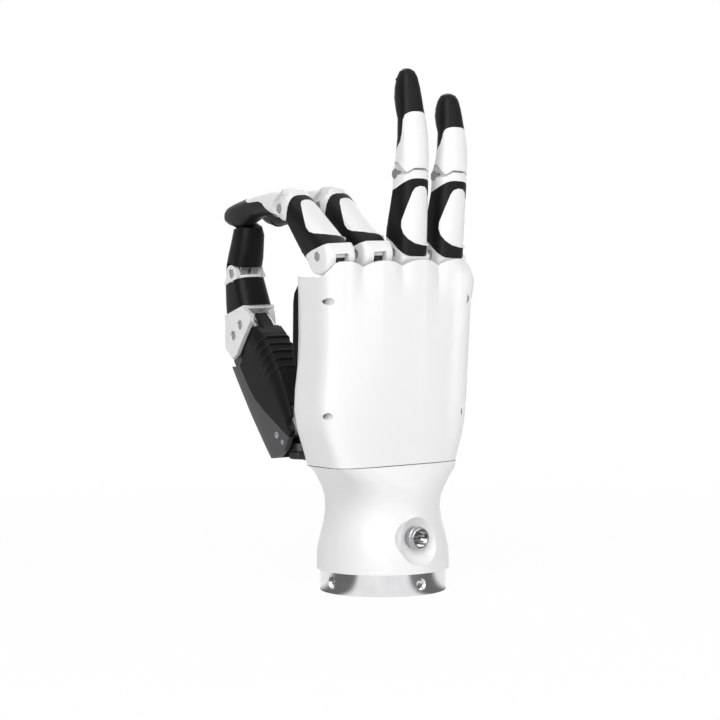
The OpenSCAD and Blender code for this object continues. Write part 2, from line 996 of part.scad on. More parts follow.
// Inner frame: ears on the root axis, a cradle for the motor, ears on the middle axis
module thumb_root_frame() {
  color("silver")
    at_root()
      difference() {
        union() {
          for (s = [-1, 1])
            translate([s * (rail_half + rail_in) / 2, 0, 0])
              across((rail_in - rail_half) / 2, (rail_half - rail_in) / 2) {
                circle(r = 4);
                polygon([[-3.8, 0], [3.8, 0], [10.6, 9.5], [10.6, 12], [-3.4, 12]]);
                polygon([
                  [-6, 40], [6, 40], [6, 44], [4.6, 49], [4.6, thumb_len], [-5.2, thumb_len],
                  [-6.4, 50]
                ]);
                translate([0, thumb_len])
                  circle(r = 5.3);
              }
          across(-rail_half, rail_half)
            polygon([
              [-3.4, 9.5], [11, 9.5], [11, 43], [-6, 43], [-6, 40], [9.1, 40], [9.1, 12], [-3.4, 12]
            ]);
        }
        axle(pin_d / 2, 20);
        translate([0, 0, thumb_len])
          axle(pin_d / 2 + run, 20);
        translate([0, 3.5, 30])
          cylinder(r = 2, h = 20);
      }
}

module thumb_motor() {
  color("silver")
    at_root()
      translate([0, 3.5, 12])
        difference() {
          cylinder(r = motor_t_r, h = 28);
          translate([0, 0, 21])
            cylinder(r = 1.9, h = 8);
        }
}

module thumb_root_pin() {
  color("dimgray")
    at_root()
      axle(pin_d / 2, thumb_w - 2.4);
}

// Eye of the push link: halfway along the sideways travel of the link pin
link_turn = root_lean - mid_lean;
eye_y = (link_y * cos(link_turn) - link_z * sin(link_turn) + link_y) / 2;
eye_z = thumb_len + link_y * sin(link_turn) + link_z * cos(link_turn);

// Link that the motor pushes: its eye takes the link pin
module thumb_push_link() {
  color("silver")
    at_root()
      difference() {
        union() {
          across(-2.2, 2.2)
            union() {
              translate([eye_y, eye_z])
                circle(r = 3.6);
              polygon([[2.2, 45.9], [4.8, 45.9], [eye_y + 2, eye_z], [eye_y - 2.4, eye_z]]);
            }
          translate([0, 3.5, 40.2])
            cylinder(r = 1.6, h = 6);
        }
        translate([0, eye_y, eye_z])
          axle(pin_d / 2 + 0.6, 10);
      }
}

// ---- thumb middle segment ------------------------------------------------
module mid_form() {
  loft([
    ring(7.3, half_t - 0.2, 6.8, 12, 3, 4), ring(12, half_t - 0.4, 6.5, 11, 3, 4),
    ring(thumb_mid_len - 3.4, half_t - 0.8, 5.8, 8.6, 3, 4)
  ]);
}

// Bracket between the root and the last joint: two cheeks, a core and two upper ears
module thumb_bracket() {
  ear = half_t - 3.3;
  color("white")
    at_mid()
      difference() {
        union() {
          for (s = [-1, 1])
            translate([s * (cheek_in + half_t - 0.2) / 2, 0, 0])
              across((cheek_in - half_t + 0.2) / 2, (half_t - 0.2 - cheek_in) / 2)
                polygon([
                  [9.8, 6.2], [9.8, 7.3], [-4, 7.3], [s < 0 ? -7 : -5, 4.6],
                  [s < 0 ? -9.4 : -4.6, 2], [s < 0 ? -8.6 : -4, -1], [-1.2, -5.9],
                  [6.5, -11.6], [10.3, -12.8],
                  [14.2, -6.4], [12, 0]
                ]);
          translate([-half_t + 0.2, -5.4, 5.9])
            cube([thumb_w - 0.4, 15.4, 1.4]);
          // core inside the cover and the rim above it
          translate([-5.5, -4, 6])
            cube([11, 8.4, thumb_mid_len - 9.2]);
          loft([
            ring(thumb_mid_len - 3.4, half_t - 0.7, 5.9, 8.6, 3, 4),
            ring(thumb_mid_len - 2.2, half_t - 0.8, 5.8, 8.4, 3, 4)
          ]);
          // ears of the last joint
          for (s = [-1, 1])
            translate([s * (half_t - 1 + ear) / 2, 0, 0])
              across((ear - half_t + 1) / 2, (half_t - 1 - ear) / 2) {
                translate([0, thumb_mid_len])
                  circle(r = 3.8);
                polygon([
                  [-3.8, thumb_mid_len], [-5, thumb_mid_len - 3], [7, thumb_mid_len - 3],
                  [3.8, thumb_mid_len]
                ]);
              }
        }
        pin_seat(thumb_w - 1.8);
        translate([0, link_y, link_z])
          pin_seat(thumb_w - 1.8);
        translate([0, 0, thumb_mid_len])
          pin_seat(thumb_w - 3);
        // room for the tip's tongue
        translate([0, 0, thumb_mid_len])
          axle(3.4 + gap, 2 * ear);
        // space for the ears of the root frame and for the link
        axle(5.3 + gap, 2 * cheek_in);
      }
}

module thumb_mid_cover() {
  color("#1c1c1e")
    at_mid()
      difference() {
        mid_form();
        translate([-5.5, -4, 0])
          cube([11, 8.4, 40]);
        translate([0, 0, thumb_mid_len])
          axle(3.8, thumb_w);
      }
}

module thumb_mid_pin() {
  at_mid()
    hinge_pin(thumb_w - 1.8);
}

module thumb_link_pin() {
  at_mid()
    translate([0, link_y, link_z])
      hinge_pin(thumb_w - 1.8);
}

// ---- thumb tip -----------------------------------------------------------
module thumb_last_pin() {
  at_mid()
    translate([0, 0, thumb_mid_len])
      hinge_pin(thumb_w - 3);
}

tip_tongue = half_t - 3.3 - gap;

// Two lugs with a slot between them, rising into the pad
module thumb_tip_frame() {
  color("silver")
    at_tip()
      difference() {
        union() {
          axle(3.4, 2 * tip_tongue);
          across(-tip_tongue, tip_tongue)
            polygon([[-2.4, -1.6], [-3.2, 0.8], [-3.5, 13], [3.5, 13], [3.2, 0.8], [2.4, -1.6]]);
        }
        axle(pin_d / 2 + run, 20);
        translate([-0.8, -10, -10])
          cube([1.6, 20, 14]);
      }
}

module thumb_tip_pad() {
  l = thumb_tip_len;
  color("#1c1c1e")
    at_tip()
      difference() {
        loft([
          ring(-1.4, 7.2, 5.2, 7.2, 3, 3.4, 0, 0.4), ring(3.6, 7.4, 5.4, 7, 3, 3.4, 0, 0.4),
          ring(8, 7.4, 5.6, 6.8, 3, 3, 0, 0.4), ring(l * 0.6, 7, 5.8, 6.4, 2.8, 2.8, 0, 0.3),
          ring(l * 0.82, 6.5, 5.5, 6.1, 2.8, 2.8), ring(l * 0.94, 5.4, 4.6, 5, 2.6, 2.6),
          ring(l, 3.2, 2.7, 3, 2.2, 2.2)
        ]);
        across(-tip_tongue, tip_tongue)
          polygon([[-3.3, -4], [-3.5, 13], [3.5, 13], [3.3, -4]]);
        // lower edge: higher round the joint than over the knuckle
        across(-20, 20)
          polygon([[-12, -4], [-12, 4], [4.6, 4], [5, -4]]);
        translate([-20, 4.5, -4])
          cube([40, 20, 4]);
      }
}

wrist_flange();
wrist_cuff();
connector_barrel();
connector_insert();
connector_pins();
back_cover();
palm_cover();
palm_pad();
cover_screws();
palm_frame();
control_board();
finger_motors();
finger_gearboxes();
finger_lead_screws();
finger_frame(0);  // index_frame
finger_sleeve(0);  // index_sleeve
finger_pin(0, 0);  // index_knuckle_pin
finger_pin(0, prox_len);  // index_middle_pin
tip_frame(0);  // index_tip_frame
tip_shell(0);  // index_tip_shell
tip_pad(0);  // index_tip_pad
finger_frame(1);  // middle_frame
finger_sleeve(1);  // middle_sleeve
finger_pin(1, 0);  // middle_knuckle_pin
finger_pin(1, prox_len);  // middle_middle_pin
tip_frame(1);  // middle_tip_frame
tip_shell(1);  // middle_tip_shell
tip_pad(1);  // middle_tip_pad
finger_frame(2);  // ring_frame
finger_sleeve(2);  // ring_sleeve
finger_pin(2, 0);  // ring_knuckle_pin
finger_pin(2, prox_len);  // ring_middle_pin
tip_frame(2);  // ring_tip_frame
tip_shell(2);  // ring_tip_shell
tip_pad(2);  // ring_tip_pad
finger_frame(3);  // little_frame
finger_sleeve(3);  // little_sleeve
finger_pin(3, 0);  // little_knuckle_pin
finger_pin(3, prox_len);  // little_middle_pin
tip_frame(3);  // little_tip_frame
tip_shell(3);  // little_tip_shell
tip_pad(3);  // little_tip_pad
thumb_mount();
thumb_swivel_pin();
thumb_swivel();
thumb_root_pin();
thumb_back_shell();
thumb_front_shell();
thumb_screws();
thumb_root_frame();
thumb_motor();
thumb_push_link();
thumb_mid_pin();
thumb_link_pin();
thumb_bracket();
thumb_mid_cover();
thumb_last_pin();
thumb_tip_frame();
thumb_tip_pad();
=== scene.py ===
import json
import math

import bmesh
import bpy
from mathutils import Matrix, Vector
from mathutils.bvhtree import BVHTree


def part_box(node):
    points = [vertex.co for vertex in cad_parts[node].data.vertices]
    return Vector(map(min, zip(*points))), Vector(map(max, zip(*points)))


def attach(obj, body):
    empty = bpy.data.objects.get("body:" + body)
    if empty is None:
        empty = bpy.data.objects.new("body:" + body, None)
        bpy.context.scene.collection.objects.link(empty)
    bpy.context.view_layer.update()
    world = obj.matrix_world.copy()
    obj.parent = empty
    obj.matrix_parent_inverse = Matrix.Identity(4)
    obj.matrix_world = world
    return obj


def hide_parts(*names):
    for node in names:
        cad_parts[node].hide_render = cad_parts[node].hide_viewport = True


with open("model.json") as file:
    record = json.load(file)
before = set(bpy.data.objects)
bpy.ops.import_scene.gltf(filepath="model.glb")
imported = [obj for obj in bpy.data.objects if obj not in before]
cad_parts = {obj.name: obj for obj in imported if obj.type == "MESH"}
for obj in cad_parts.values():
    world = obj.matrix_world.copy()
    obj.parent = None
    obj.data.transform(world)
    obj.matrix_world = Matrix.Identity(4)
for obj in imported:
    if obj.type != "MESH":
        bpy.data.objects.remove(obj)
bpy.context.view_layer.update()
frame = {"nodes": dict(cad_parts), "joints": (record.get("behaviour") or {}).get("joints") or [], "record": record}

bl_info = {
    "name": "Robot Hand",
    "version": (1, 0, 0),
    "blender": (4, 5, 0),
    "location": "View3D > Sidebar > Robot Hand",
    "description": "Dresses the frame of a dexterous robot hand with moulded covers, skins and metal",
    "category": "Object",
}

MM = 0.001
FINGERS = ("index", "middle", "ring", "little")
UP = Vector((0, 0, 1))

# Corners of a CAD solid that are nearer than this are one corner
WELD_GAP = 0.004 * MM
# Faces of a CAD solid that meet at less than this are one face
FLAT_ANGLE = math.radians(0.6)
# Edges sharper than this stay sharp: on dressed nodes, on ribs, on other added pieces
NODE_SHARP, RIB_SHARP, DETAIL_SHARP = math.radians(42), math.radians(50), math.radians(40)

# The palm's back edge on the little finger's side: height in millimetres, and how far the middle
# of the edge's rounding moves out, as a share of its radius
FULL_EDGE = (
    (57, 0.0), (62, 0.06), (67, 0.13), (74, 0.18), (82, 0.21), (106, 0.21), (120, 0.20),
    (128, 0.23), (134, 0.26), (138, 0.18), (141.5, 0.06), (143.8, 0.0),
)


# ---- sizes and colours a user would change ---------------------------------
class HandColours(bpy.types.PropertyGroup):
    """Colours of the hand's finishes."""

    cover: bpy.props.FloatVectorProperty(
        name="Cover", description="Gloss mouldings of palm, cuff and fingers",
        subtype="COLOR", size=3, min=0, max=1, default=(0.80, 0.80, 0.795),
    )
    skin: bpy.props.FloatVectorProperty(
        name="Skin", description="Soft black sleeves and pads",
        subtype="COLOR", size=3, min=0, max=1, default=(0.005, 0.005, 0.0055),
    )
    back_shell: bpy.props.FloatVectorProperty(
        name="Thumb back shell", description="Dark grey shell along the thumb's back",
        subtype="COLOR", size=3, min=0, max=1, default=(0.055, 0.056, 0.058),
    )
    metal: bpy.props.FloatVectorProperty(
        name="Metal", description="Anodised frames, flange and links",
        subtype="COLOR", size=3, min=0, max=1, default=(0.72, 0.72, 0.73),
    )
    steel: bpy.props.FloatVectorProperty(
        name="Steel", description="Pins and screws",
        subtype="COLOR", size=3, min=0, max=1, default=(0.42, 0.42, 0.43),
    )


class HandEdges(bpy.types.PropertyGroup):
    """Widths of the rounded edges."""

    moulded: bpy.props.FloatProperty(
        name="Moulded edge", description="Rounding of plastic edges",
        default=0.35 * MM, min=0, unit="LENGTH", precision=5,
    )
    soft: bpy.props.FloatProperty(
        name="Soft edge", description="Rounding of rubber edges",
        default=0.5 * MM, min=0, unit="LENGTH", precision=5,
    )
    machined: bpy.props.FloatProperty(
        name="Machined edge", description="Chamfer of metal edges",
        default=0.15 * MM, min=0, unit="LENGTH", precision=5,
    )
    blend_angle: bpy.props.FloatProperty(
        name="Blend angle", description="Faces that meet at less than this angle look like one",
        default=math.radians(30), min=0, max=math.pi, unit="ROTATION",
    )


class HandPalm(bpy.types.PropertyGroup):
    """Sizes of the palm's finer forms."""

    valley_depth: bpy.props.FloatProperty(
        name="Valley depth", description="Depth of the valleys below the notches between knuckles",
        default=1.0 * MM, unit="LENGTH", precision=5,
    )
    valley_width: bpy.props.FloatProperty(
        name="Valley width", description="Half the width of a valley",
        default=2.8 * MM, unit="LENGTH", precision=5,
    )
    valley_low: bpy.props.FloatProperty(
        name="Valley foot", description="Height where the valleys begin",
        default=127 * MM, unit="LENGTH", precision=5,
    )
    valley_high: bpy.props.FloatProperty(
        name="Valley top", description="Height where the valleys have their full depth",
        default=143 * MM, unit="LENGTH", precision=5,
    )
    line_height: bpy.props.FloatProperty(
        name="Joint line height", description="Height of the joint between the cuff and the palm",
        default=56.1 * MM, unit="LENGTH", precision=5,
    )
    # The joint's dark line is a painted shadow: a dark strip that stands for the shade in the gap
    line_width: bpy.props.FloatProperty(
        name="Joint line width", description="Width of the dark line in that joint",
        default=0.36 * MM, unit="LENGTH", precision=5,
    )
    shoulder_low: bpy.props.FloatProperty(
        name="Shoulder foot", description="Height of the palm's flat top, where the shoulders stand",
        default=137.2 * MM, unit="LENGTH", precision=5,
    )
    shoulder_high: bpy.props.FloatProperty(
        name="Shoulder top", description="Height of the shoulders beside the scallops",
        default=143.3 * MM, unit="LENGTH", precision=5,
    )
    shoulder_wall: bpy.props.FloatProperty(
        name="Shoulder wall", description="Thickness of the shoulders",
        default=0.6 * MM, unit="LENGTH", precision=5,
    )
    knuckle_room: bpy.props.FloatProperty(
        name="Knuckle room", description="Radius round a knuckle's axis that stays free",
        default=8.35 * MM, unit="LENGTH", precision=5,
    )


class HandFingers(bpy.types.PropertyGroup):
    """Sizes of the finer forms on fingers and thumb."""

    hood_radius: bpy.props.FloatProperty(
        name="Hood radius", description="Outer radius of the hood on a knuckle",
        default=8.01 * MM, unit="LENGTH", precision=5,
    )
    hood_inner: bpy.props.FloatProperty(
        name="Hood inner radius", description="Inner radius of the hood",
        default=6.0 * MM, unit="LENGTH", precision=5,
    )
    hood_gap: bpy.props.FloatProperty(
        name="Hood gap", description="How far behind the knuckle's axis the hood ends",
        default=5.6 * MM, unit="LENGTH", precision=5,
    )
    hood_half: bpy.props.FloatProperty(
        name="Hood half width", description="Half the width of the hood",
        default=3.9 * MM, unit="LENGTH", precision=5,
    )
    cap_radius: bpy.props.FloatProperty(
        name="Cap radius", description="Radius of the cap on the palm's lug",
        default=5.85 * MM, unit="LENGTH", precision=5,
    )
    cap_wall: bpy.props.FloatProperty(
        name="Cap wall", description="Thickness of the cap",
        default=0.7 * MM, unit="LENGTH", precision=5,
    )
    cap_half: bpy.props.FloatProperty(
        name="Cap half width", description="Half the width of the cap",
        default=2.95 * MM, unit="LENGTH", precision=5,
    )
    rib_height: bpy.props.FloatProperty(
        name="Rib height", description="Height of the grip ribs on the fingers",
        default=0.45 * MM, unit="LENGTH", precision=5,
    )
    shell_rib_height: bpy.props.FloatProperty(
        name="Shell rib height", description="Height of the ribs on the thumb's front shell",
        default=0.55 * MM, unit="LENGTH", precision=5,
    )
    pinch_lift: bpy.props.FloatProperty(
        name="Pinch lift", description="How far the thumb's soft tip swells towards the index",
        default=3.2 * MM, unit="LENGTH", precision=5,
    )
    pinch_gap: bpy.props.FloatProperty(
        name="Pinch gap", description="Gap that stays between the two tips",
        default=0.12 * MM, unit="LENGTH", precision=5,
    )
    pinch_depth: bpy.props.FloatProperty(
        name="Pinch depth", description="Length of the thumb's tip that swells",
        default=12 * MM, unit="LENGTH", precision=5,
    )
    mount_edge: bpy.props.FloatProperty(
        name="Mount edge", description="Rounding of the thumb's mount, which clears the back shell",
        default=0.6 * MM, unit="LENGTH", precision=5,
    )


class HandStudio(bpy.types.PropertyGroup):
    """Camera and lamps."""

    azimuth: bpy.props.FloatProperty(
        name="Azimuth", description="Direction the camera looks from, about the hand's upright axis",
        default=math.radians(-36.39), unit="ROTATION",
    )
    pitch: bpy.props.FloatProperty(
        name="Pitch", description="How far the camera looks down",
        default=math.radians(3.6), unit="ROTATION",
    )
    roll: bpy.props.FloatProperty(
        name="Roll", description="Tilt of the camera about its own axis",
        default=math.radians(-0.31), unit="ROTATION",
    )
    distance: bpy.props.FloatProperty(
        name="Distance", description="Camera to the hand's upright axis",
        default=1.2001, unit="LENGTH",
    )
    lens: bpy.props.FloatProperty(
        name="Lens", description="Focal length on a 36 mm sensor", default=137.93, unit="CAMERA",
    )
    aim_height: bpy.props.FloatProperty(
        name="Aim height", description="Height of the point in the middle of the view",
        default=99.95 * MM, unit="LENGTH",
    )
    aim_side: bpy.props.FloatProperty(
        name="Aim side", description="Sideways step of that point from the upright axis",
        default=-9.48 * MM, unit="LENGTH",
    )
    key: bpy.props.FloatProperty(
        name="Key lamp", description="Power of the large lamp in front", default=14.5,
        unit="POWER",
    )
    fill: bpy.props.FloatProperty(
        name="Fill lamp", description="Power of the lamp on the little finger's side",
        default=4.5, unit="POWER",
    )
    back: bpy.props.FloatProperty(
        name="Back lamp", description="Power of the lamp behind the hand", default=6.0,
        unit="POWER",
    )
    sky: bpy.props.FloatProperty(
        name="Sky", description="Strength of the even light from all round", default=0.2,
        min=0, max=1, subtype="FACTOR",
    )
    room: bpy.props.FloatProperty(
        name="Room", description="How bright the room beside the backdrop is in reflections",
        default=0.14, min=0, max=1, subtype="FACTOR",
    )


# ---- shader expressions ----------------------------------------------------
class Value:
    """A shader socket that takes part in Python expressions."""

    def __init__(self, shader, socket):
        self.shader = shader
        self.socket = socket

    def _math(self, operation, *values):
        return self.shader.node("ShaderNodeMath", {"operation": operation}, *values)

    def __add__(self, other):
        return self._math("ADD", self, other)

    __radd__ = __add__

    def __sub__(self, other):
        return self._math("SUBTRACT", self, other)

    def __rsub__(self, other):
        return self._math("SUBTRACT", other, self)

    def __mul__(self, other):
        return self._math("MULTIPLY", self, other)

    __rmul__ = __mul__

    def magnitude(self):
        """The value without its sign."""
        return self._math("ABSOLUTE", self)

    def larger(self, other):
        """The larger of two values."""
        return self._math("MAXIMUM", self, other)

    def out(self, name):
        """Another output of the same node."""
        return Value(self.shader, self.socket.node.outputs[name])

    def step(self, low, high):
        """Runs smoothly from 0 at low to 1 at high."""
        return self.shader.node(
            "ShaderNodeMapRange", {"interpolation_type": "SMOOTHSTEP"}, self, low, high, 0.0, 1.0
        )


class Nodes:
    """A node tree whose nodes are made by one method."""

    def __init__(self, tree):
        self.tree = tree

    def node(self, kind, settings, *values, output=0, **named):
        """Adds a node. Values go to its first sockets, named ones to the sockets of that name."""
        made = self.tree.nodes.new(kind)
        for name, setting in settings.items():
            setattr(made, name, setting)
        for socket, value in zip(made.inputs, values):
            self.feed(socket, value)
        for name, value in named.items():
            self.feed(made.inputs[name], value)
        return Value(self, made.outputs[output])

    def feed(self, socket, value):
        """Links a Value to the socket or sets a plain value on it; None leaves it as it is."""
        if isinstance(value, Value):
            self.tree.links.new(value.socket, socket)
        elif value is not None:
            socket.default_value = value

    def seen_rays(self):
        """1 for rays that see the backdrop: from the camera, mirrors and glass."""
        path = self.node("ShaderNodeLightPath", {}, output="Is Camera Ray")
        return path.larger(path.out("Is Glossy Ray")).larger(path.out("Is Transmission Ray"))


class Shader(Nodes):
    """A material with one Principled surface."""

    def __init__(self, name):
        self.material = bpy.data.materials.new(name)
        self.material.use_nodes = True
        super().__init__(self.material.node_tree)
        self.surface = self.tree.nodes["Principled BSDF"]
        self.place = self.node("ShaderNodeTexCoord", {}, output="Object")

    def set(self, **inputs):
        """Feeds the surface's inputs, written with _ for a space."""
        for name, value in inputs.items():
            self.feed(self.surface.inputs[name.replace("_", " ")], value)
        return self

    def noise(self, size, detail=2.0, stretch=(1, 1, 1)):
        """Noise whose grains are about size metres across."""
        scaled = self.node("ShaderNodeVectorMath", {"operation": "MULTIPLY"}, self.place, stretch)
        return self.node("ShaderNodeTexNoise", {}, scaled, None, 1.0 / size, detail)

    def blend(self, factor, low, high):
        """Colour that runs from low to high."""
        unused = [None] * 5
        return self.node(
            "ShaderNodeMix", {"data_type": "RGBA"}, factor, *unused, low, high, output=2
        )

    def bump(self, height, depth):
        """Relief of depth metres, fed to Normal."""
        self.set(Normal=self.node(
            "ShaderNodeBump", {}, Strength=1.0, Distance=depth, Height=height, output="Normal"
        ))


def rgba(colour, gain=1.0):
    """The colour, made gain times as bright, with full opacity."""
    return (*[min(1.0, c * gain) for c in colour], 1.0)


def moulded_cover(name, colour, roughness, coat):
    """Gloss plastic: even colour, faint cloudiness, a fine moulded grain."""
    shader = Shader(name)
    cloud = shader.noise(14 * MM, 3.0)
    grain = shader.noise(0.35 * MM, 2.0)
    shader.set(
        Base_Color=shader.blend(cloud, rgba(colour, 0.985), rgba(colour, 1.015)),
        Roughness=roughness + cloud * 0.06 + grain * 0.03,
        Coat_Weight=coat, Coat_Roughness=0.12, IOR=1.49,
    )
    shader.bump(grain, 0.012 * MM)
    return shader.material


def soft_skin(name, colour):
    """Soft black skin: dull sheen, pebbled grain, lighter where it is worn smooth."""
    shader = Shader(name)
    cloud = shader.noise(9 * MM, 4.0)
    pebbles = shader.node(
        "ShaderNodeTexVoronoi", {"feature": "SMOOTH_F1"}, shader.place, None, 1.0 / (0.7 * MM)
    )
    shader.set(
        Base_Color=shader.blend(cloud, rgba(colour, 0.8), rgba(colour, 1.5)),
        Roughness=0.42 + cloud * 0.12, Specular_IOR_Level=0.22,
    )
    shader.bump(pebbles, 0.03 * MM)
    return shader.material


def machined_metal(name, colour, roughness, lay):
    """Anodised metal with fine tool marks that run across lay."""
    shader = Shader(name)
    marks = shader.noise(1.2 * MM, 3.0, lay)
    cloud = shader.noise(6 * MM, 2.0)
    shader.set(
        Base_Color=shader.blend(cloud, rgba(colour, 0.9), rgba(colour, 1.08)),
        Metallic=1.0, Roughness=roughness + marks * 0.12,
    )
    shader.bump(marks, 0.0001 * MM)
    return shader.material


def circuit_board(name):
    """Green solder mask with pale tracks and pads."""
    shader = Shader(name)
    tracks = shader.node(
        "ShaderNodeTexBrick", {}, shader.place, (0.02, 0.12, 0.05, 1), (0.015, 0.1, 0.04, 1),
        (0.1, 0.3, 0.12, 1), 400.0, output="Color",
    )
    shader.set(Base_Color=tracks, Roughness=0.35)
    return shader.material


# ---- finishes of the record's slots ----------------------------------------
def finishes(scene):
    """A material for each slot, and for the metals that differ from their slot."""
    colours = scene.hand_colours
    tool_marks = (1.0, 1.0, 14.0)
    return {
        "white_shell": moulded_cover("white cover", colours.cover, 0.3, 0.25),
        "black_skin": soft_skin("black skin", colours.skin),
        "grey_shell": moulded_cover("grey thumb shell", colours.back_shell, 0.38, 0.0),
        "dark_frame": moulded_cover("dark frame", (0.02, 0.02, 0.022), 0.5, 0.0),
        "machined_metal": machined_metal("anodised metal", colours.metal, 0.26, tool_marks),
        "turned_flange": machined_metal(
            "turned flange", (0.78, 0.78, 0.79), 0.1, (0.6, 0.6, 30.0)
        ),
        "chrome": machined_metal("chrome", (0.5, 0.5, 0.51), 0.1, tool_marks),
        "dark_metal": machined_metal("dark metal", (0.09, 0.09, 0.095), 0.3, tool_marks),
        "steel": machined_metal("steel", colours.steel, 0.28, tool_marks),
        "motor_can": machined_metal("motor can", (0.6, 0.6, 0.62), 0.3, (1, 1, 0.2)),
        "gearbox_brass": machined_metal("gearbox brass", (0.62, 0.45, 0.2), 0.3, tool_marks),
        "contact_gold": machined_metal("contact gold", (0.85, 0.62, 0.25), 0.2, tool_marks),
        "board_green": circuit_board("control board"),
    }


FINISHES = {}


def finish(slot):
    """The material of a slot; all are made on first use."""
    if not FINISHES:
        FINISHES.update(finishes(bpy.context.scene))
    return FINISHES[slot]


SLOT_OF = {row["node"]: row["material_slot"] for row in frame["record"]["subparts"]}
BODY_OF = {
    node: body for body, members in frame["record"]["behaviour"]["bodies"].items() for node in members
}


def paint_frame(*nodes, as_slot=None):
    """Gives CAD nodes that keep their own shape the finish of their slot, or of as_slot."""
    for node in nodes:
        piece = frame["nodes"][node]
        if not piece.data.materials:
            piece.data.materials.append(None)
        for slot in piece.material_slots:
            slot.material = finish(as_slot or SLOT_OF[node])


# ---- mesh tools ------------------------------------------------------------
def new_piece(name, mesh, slot, body):
    """A piece of the scene with a slot's finish that rides a body."""
    piece = bpy.data.objects.new(name, mesh)
    bpy.context.scene.collection.objects.link(piece)
    mesh.materials.clear()
    mesh.materials.append(finish(slot))
    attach(piece, body)
    return piece


def smooth(data, sharp):
    """Smooth shading with a crease where faces meet at more than sharp."""
    data.shade_smooth()
    data.set_sharp_from_angle(angle=sharp)


def closed_piece(name, made, slot, body, sharp):
    """A new piece from a closed bmesh, which it frees."""
    bmesh.ops.recalc_face_normals(made, faces=made.faces)
    data = bpy.data.meshes.new(name)
    made.to_mesh(data)
    made.free()
    piece = new_piece(name, data, slot, body)
    smooth(data, sharp)
    return piece


def reshape(piece, made):
    """Gives the piece the bmesh's shape and frees the bmesh."""
    made.to_mesh(piece.data)
    made.free()
    smooth(piece.data, NODE_SHARP)


def ease(share):
    """Runs smoothly from 0 to 1 as share does, and stays there outside."""
    share = min(1.0, max(0.0, share))
    return share * share * (3 - 2 * share)


def join_rings(made, rings):
    """Faces between neighbouring rings of corners, and over both ends."""
    for before, after in zip(rings, rings[1:]):
        for k in range(len(before)):
            m = (k + 1) % len(before)
            made.faces.new((before[k], before[m], after[m], after[k]))
    made.faces.new(rings[0][::-1])
    made.faces.new(rings[-1])


def keep_modifiers(piece):
    """Turns the piece's modifiers into its mesh."""
    graph = bpy.context.evaluated_depsgraph_get()
    mesh = bpy.data.meshes.new_from_object(piece.evaluated_get(graph), depsgraph=graph)
    piece.modifiers.clear()
    piece.data = mesh
    return piece


def soften(node, width, as_slot=None):
    """The node's solid with rounded edges and smooth faces, in place of the node."""
    blend_angle = bpy.context.scene.hand_edges.blend_angle
    solid = bmesh.new()
    solid.from_mesh(frame["nodes"][node].data)
    bmesh.ops.remove_doubles(solid, verts=solid.verts, dist=WELD_GAP)
    bmesh.ops.dissolve_limit(
        solid, angle_limit=FLAT_ANGLE, verts=solid.verts, edges=solid.edges,
        use_dissolve_boundaries=False, delimit=set(),
    )
    rounded = solid.edges.layers.float.new("bevel_weight_edge")
    for edge in solid.edges:
        if edge.is_manifold and edge.is_convex and edge.calc_face_angle(0) > blend_angle:
            edge[rounded] = 1.0
    mesh = bpy.data.meshes.new(node + "_finished")
    solid.to_mesh(mesh)
    solid.free()
    piece = new_piece(node + "_finished", mesh, SLOT_OF[node], BODY_OF[node])
    if as_slot:
        mesh.materials[0] = finish(as_slot)
    bevel = piece.modifiers.new("rounded edges", "BEVEL")
    bevel.width = width
    bevel.segments = 2
    bevel.limit_method = "WEIGHT"
    bevel.use_clamp_overlap = True
    bevel.harden_normals = False
    keep_modifiers(piece)
    smooth(piece.data, NODE_SHARP)
    weighted = piece.modifiers.new("even shading", "WEIGHTED_NORMAL")
    weighted.keep_sharp = True
    weighted.weight = 60
    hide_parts(node)
    return piece


# ---- raised details --------------------------------------------------------
JOINTS = {joint["name"]: joint for joint in frame["joints"]}


def joint_axis(name):
    """Place and direction of a hinge."""
    return Vector(JOINTS[name]["pos_m"]), Vector(JOINTS[name]["axis"]).normalized()


def solid_of(*nodes):
    """Finds where lines meet the nodes' solids."""
    solid = bmesh.new()
    for node in nodes:
        solid.from_mesh(frame["nodes"][node].data)
    tree = BVHTree.FromBMesh(solid)
    solid.free()
    return tree


def laid_on(tree, lines):
    """Places and outward normals where the lines, (start, direction) pairs, meet the solid."""
    path = []
    for start, inward in lines:
        place, normal, _, _ = tree.ray_cast(start, inward)
        if place:
            path.append((place, normal if normal.dot(inward) < 0 else -normal))
    return path


def add_rib(made, path, width, height, taper=0.3):
    """Adds a rib with a rounded back that runs along path and sinks away at its ends."""
    last = len(path) - 1
    if last < 2:
        raise RuntimeError("a rib found no solid to lie on")
    rings = []
    for i, (place, normal) in enumerate(path):
        along = (path[min(i + 1, last)][0] - path[max(i - 1, 0)][0]).normalized()
        side = along.cross(normal).normalized()
        near_end = min(i, last - i) / (taper * last)
        full = math.sin(math.pi / 2 * min(1.0, near_end + 0.05))
        ring = [
            place + side * (math.cos(a) * width / 2) + normal * (math.sin(a) * height * full)
            for a in [math.pi * k / 8 for k in range(9)]
        ]
        ring.append(place - side * (width / 2) - normal * height)
        ring.append(place + side * (width / 2) - normal * height)
        rings.append([made.verts.new(corner) for corner in ring])
    join_rings(made, rings)


def fan(centre, ahead, aside, reach, low, high, count):
    """Lines that point back at the centre, fanned from ahead to aside through low to high."""
    lines = []
    for k in range(count + 1):
        turn = low + (high - low) * k / count
        outward = ahead * math.cos(turn) + aside * math.sin(turn)
        lines.append((centre + outward * reach, -outward))
    return lines


def middle_of(node):
    """The middle of a node's box."""
    low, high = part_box(node)
    return (low + high) / 2


